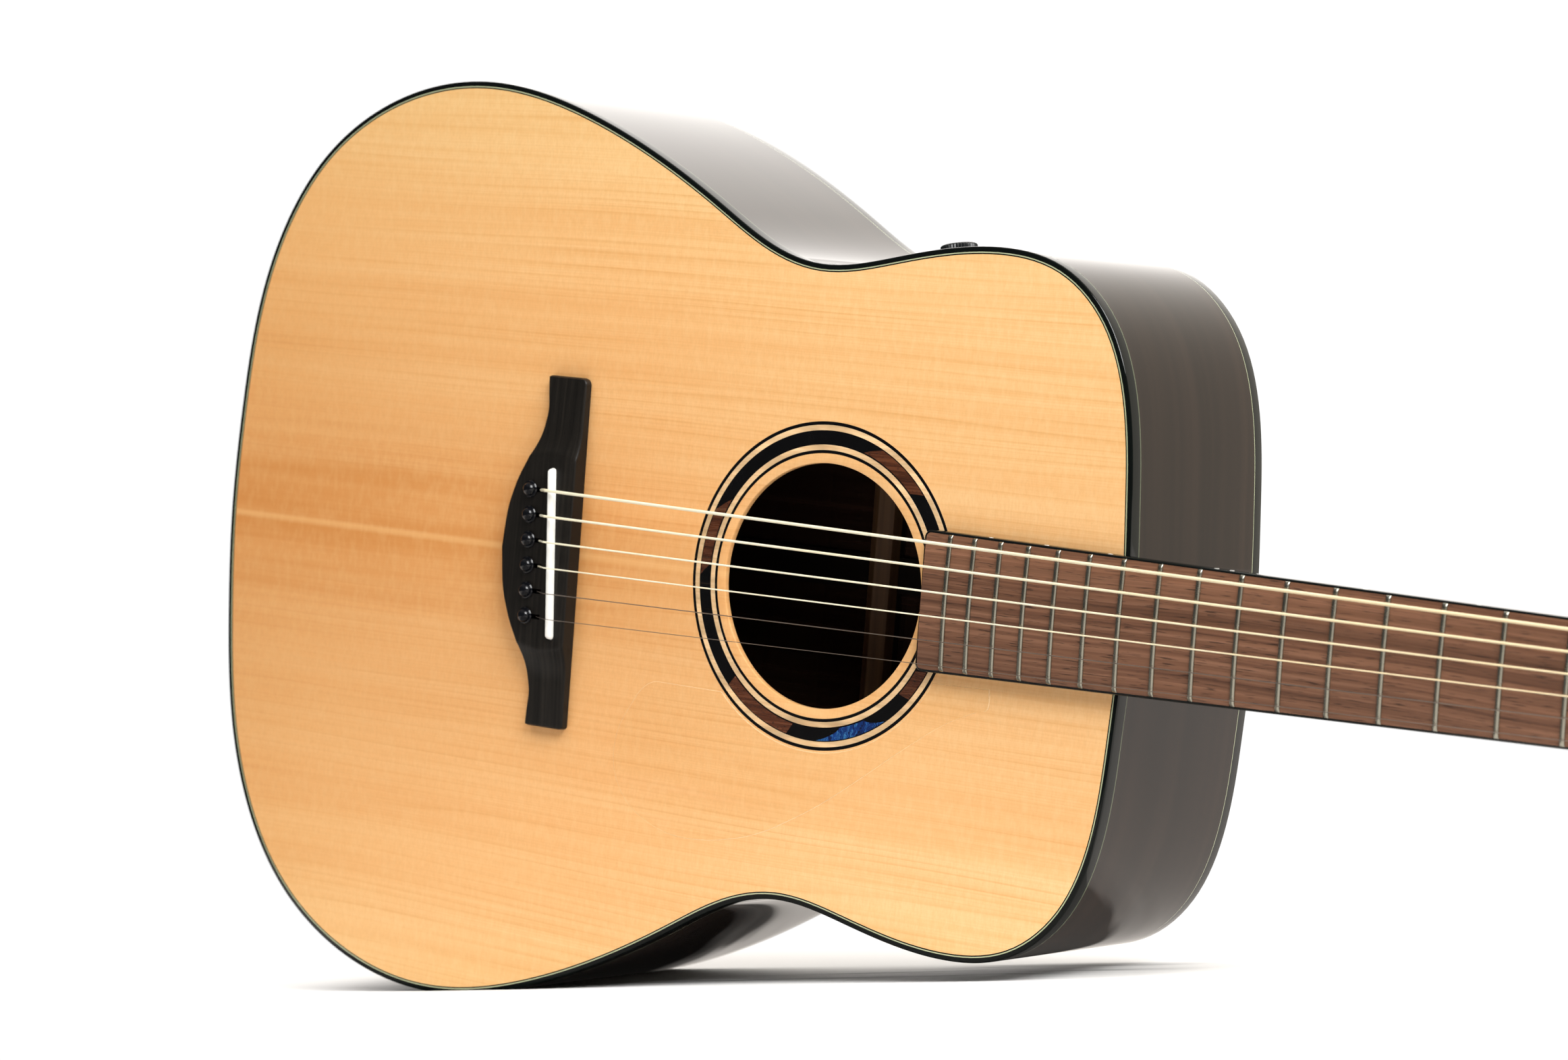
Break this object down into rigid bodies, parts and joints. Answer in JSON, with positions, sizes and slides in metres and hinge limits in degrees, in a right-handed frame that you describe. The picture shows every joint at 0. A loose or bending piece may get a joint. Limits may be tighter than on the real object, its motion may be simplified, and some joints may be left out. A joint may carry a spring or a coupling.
{
  "type": "acoustic guitar",
  "caption": "Dreadnought acoustic-electric guitar: spruce-topped body, dark sides, bound edges, pinned bridge, fretted neck, tilted headstock with turning tuners.",
  "frame": {"origin": "a point on the outer face of the flat back, on the centre line, halfway between the tail and the neck joint (the mount back_rest)", "axes": "+X along the neck towards the headstock, +Z towards the bass side, +Y out of the back; the soundboard faces -Y"},
  "size_m": [1.0603, 0.1366, 0.4088],
  "materials": {
    "spruce": "thin gloss lacquer over spruce with fine straight grain along the neck axis",
    "brace_spruce": "bare planed spruce",
    "rosewood": "gloss lacquer over very dark striped rosewood",
    "fingerboard_rosewood": "bare oiled rosewood with open pores",
    "ebony": "bare satin ebony",
    "mahogany": "satin lacquer over mahogany",
    "block_wood": "bare planed hardwood",
    "black_plastic": "polished black",
    "cream_inlay": "lacquered over",
    "bone": "satin, off-white",
    "nickel_silver": "polished fret wire",
    "chrome": "bright plated",
    "plain_steel": "bright drawn wire",
    "wound_bronze": "fine bronze winding",
    "clear_film": "clear glossy film"
  },
  "bodies": {
    "guitar": {"soundboard": "spruce", "back_plate": "rosewood", "side_bass": "rosewood", "side_treble": "rosewood", "binding_top": "black_plastic", "binding_back": "black_plastic", "lining_top": "block_wood", "lining_back": "block_wood", "neck_block": "block_wood", "end_block": "block_wood", "x_brace": "brace_spruce", "transverse_brace": "brace_spruce", "bridge_plate": "block_wood", "tone_bar_1": "brace_spruce", "tone_bar_2": "brace_spruce", "back_bracing": "brace_spruce", "rosette_ring_inner": "cream_inlay", "rosette_band": "fingerboard_rosewood", "rosette_ring_outer": "cream_inlay", "pickguard": "clear_film", "bridge": "ebony", "saddle": "bone", "preamp": "black_plastic", "end_pin_jack": "chrome", "neck": "mahogany", "fingerboard": "fingerboard_rosewood", "nut": "bone", "truss_rod": "plain_steel", "frets": "nickel_silver", "string_1": "plain_steel", "tuner_housing_1": "chrome", "string_2": "plain_steel", "tuner_housing_2": "chrome", "string_3": "wound_bronze", "tuner_housing_3": "chrome", "string_4": "wound_bronze", "tuner_housing_4": "chrome", "string_5": "wound_bronze", "tuner_housing_5": "chrome", "string_6": "wound_bronze", "tuner_housing_6": "chrome"},
    "volume_knob": {"volume_knob": "black_plastic"},
    "bridge_pin_1": {"bridge_pin_1": "black_plastic"},
    "bridge_pin_2": {"bridge_pin_2": "black_plastic"},
    "bridge_pin_3": {"bridge_pin_3": "black_plastic"},
    "bridge_pin_4": {"bridge_pin_4": "black_plastic"},
    "bridge_pin_5": {"bridge_pin_5": "black_plastic"},
    "bridge_pin_6": {"bridge_pin_6": "black_plastic"},
    "tuner_post_1": {"tuner_post_1": "chrome"},
    "tuner_post_2": {"tuner_post_2": "chrome"},
    "tuner_post_3": {"tuner_post_3": "chrome"},
    "tuner_post_4": {"tuner_post_4": "chrome"},
    "tuner_post_5": {"tuner_post_5": "chrome"},
    "tuner_post_6": {"tuner_post_6": "chrome"},
    "tuner_button_1": {"tuner_button_1": "chrome"},
    "tuner_button_2": {"tuner_button_2": "chrome"},
    "tuner_button_3": {"tuner_button_3": "chrome"},
    "tuner_button_4": {"tuner_button_4": "chrome"},
    "tuner_button_5": {"tuner_button_5": "chrome"},
    "tuner_button_6": {"tuner_button_6": "chrome"}
  },
  "joints": [
    {"name": "volume_turn", "type": "hinge", "parent": "guitar", "child": "volume_knob", "pos_m": [0.13282, -0.07925, 0.14159], "axis": [-0.1982, 0, 0.9802], "range_deg": [-140, 140]},
    {"name": "bridge_pin_6_pull", "type": "slide", "parent": "guitar", "child": "bridge_pin_6", "axis": [0, -1, 0], "range_m": [0, 0.03]},
    {"name": "bridge_pin_5_pull", "type": "slide", "parent": "guitar", "child": "bridge_pin_5", "axis": [0, -1, 0], "range_m": [0, 0.03]},
    {"name": "bridge_pin_4_pull", "type": "slide", "parent": "guitar", "child": "bridge_pin_4", "axis": [0, -1, 0], "range_m": [0, 0.03]},
    {"name": "bridge_pin_3_pull", "type": "slide", "parent": "guitar", "child": "bridge_pin_3", "axis": [0, -1, 0], "range_m": [0, 0.03]},
    {"name": "bridge_pin_2_pull", "type": "slide", "parent": "guitar", "child": "bridge_pin_2", "axis": [0, -1, 0], "range_m": [0, 0.03]},
    {"name": "bridge_pin_1_pull", "type": "slide", "parent": "guitar", "child": "bridge_pin_1", "axis": [0, -1, 0], "range_m": [0, 0.03]},
    {"name": "tuner_button_1_turn", "type": "hinge", "parent": "guitar", "child": "tuner_button_1", "pos_m": [0.66167, -0.07967, -0.021], "axis": [0, 0, 1], "continuous": true},
    {"name": "tuner_post_1_turn", "type": "hinge", "parent": "guitar", "child": "tuner_post_1", "pos_m": [0.65985, -0.10113, -0.021], "axis": [0.225, -0.9744, 0], "continuous": true},
    {"name": "tuner_button_2_turn", "type": "hinge", "parent": "guitar", "child": "tuner_button_2", "pos_m": [0.70064, -0.07067, -0.0225], "axis": [0, 0, 1], "continuous": true},
    {"name": "tuner_post_2_turn", "type": "hinge", "parent": "guitar", "child": "tuner_post_2", "pos_m": [0.69882, -0.09213, -0.0225], "axis": [0.225, -0.9744, 0], "continuous": true},
    {"name": "tuner_button_3_turn", "type": "hinge", "parent": "guitar", "child": "tuner_button_3", "pos_m": [0.73962, -0.06167, -0.024], "axis": [0, 0, 1], "continuous": true},
    {"name": "tuner_post_3_turn", "type": "hinge", "parent": "guitar", "child": "tuner_post_3", "pos_m": [0.7378, -0.08313, -0.024], "axis": [0.225, -0.9744, 0], "continuous": true},
    {"name": "tuner_button_4_turn", "type": "hinge", "parent": "guitar", "child": "tuner_button_4", "pos_m": [0.73962, -0.06167, 0.024], "axis": [0, 0, 1], "continuous": true},
    {"name": "tuner_post_4_turn", "type": "hinge", "parent": "guitar", "child": "tuner_post_4", "pos_m": [0.7378, -0.08313, 0.024], "axis": [0.225, -0.9744, 0], "continuous": true},
    {"name": "tuner_button_5_turn", "type": "hinge", "parent": "guitar", "child": "tuner_button_5", "pos_m": [0.70064, -0.07067, 0.0225], "axis": [0, 0, 1], "continuous": true},
    {"name": "tuner_post_5_turn", "type": "hinge", "parent": "guitar", "child": "tuner_post_5", "pos_m": [0.69882, -0.09213, 0.0225], "axis": [0.225, -0.9744, 0], "continuous": true},
    {"name": "tuner_button_6_turn", "type": "hinge", "parent": "guitar", "child": "tuner_button_6", "pos_m": [0.66167, -0.07967, 0.021], "axis": [0, 0, 1], "continuous": true},
    {"name": "tuner_post_6_turn", "type": "hinge", "parent": "guitar", "child": "tuner_post_6", "pos_m": [0.65985, -0.10113, 0.021], "axis": [0.225, -0.9744, 0], "continuous": true}
  ],
  "couplings": [
    {"joint": "tuner_post_1_turn", "follows": "tuner_button_1_turn", "ratio": -0.066667},
    {"joint": "tuner_post_2_turn", "follows": "tuner_button_2_turn", "ratio": -0.066667},
    {"joint": "tuner_post_3_turn", "follows": "tuner_button_3_turn", "ratio": -0.066667},
    {"joint": "tuner_post_4_turn", "follows": "tuner_button_4_turn", "ratio": 0.066667},
    {"joint": "tuner_post_5_turn", "follows": "tuner_button_5_turn", "ratio": 0.066667},
    {"joint": "tuner_post_6_turn", "follows": "tuner_button_6_turn", "ratio": 0.066667}
  ]
}
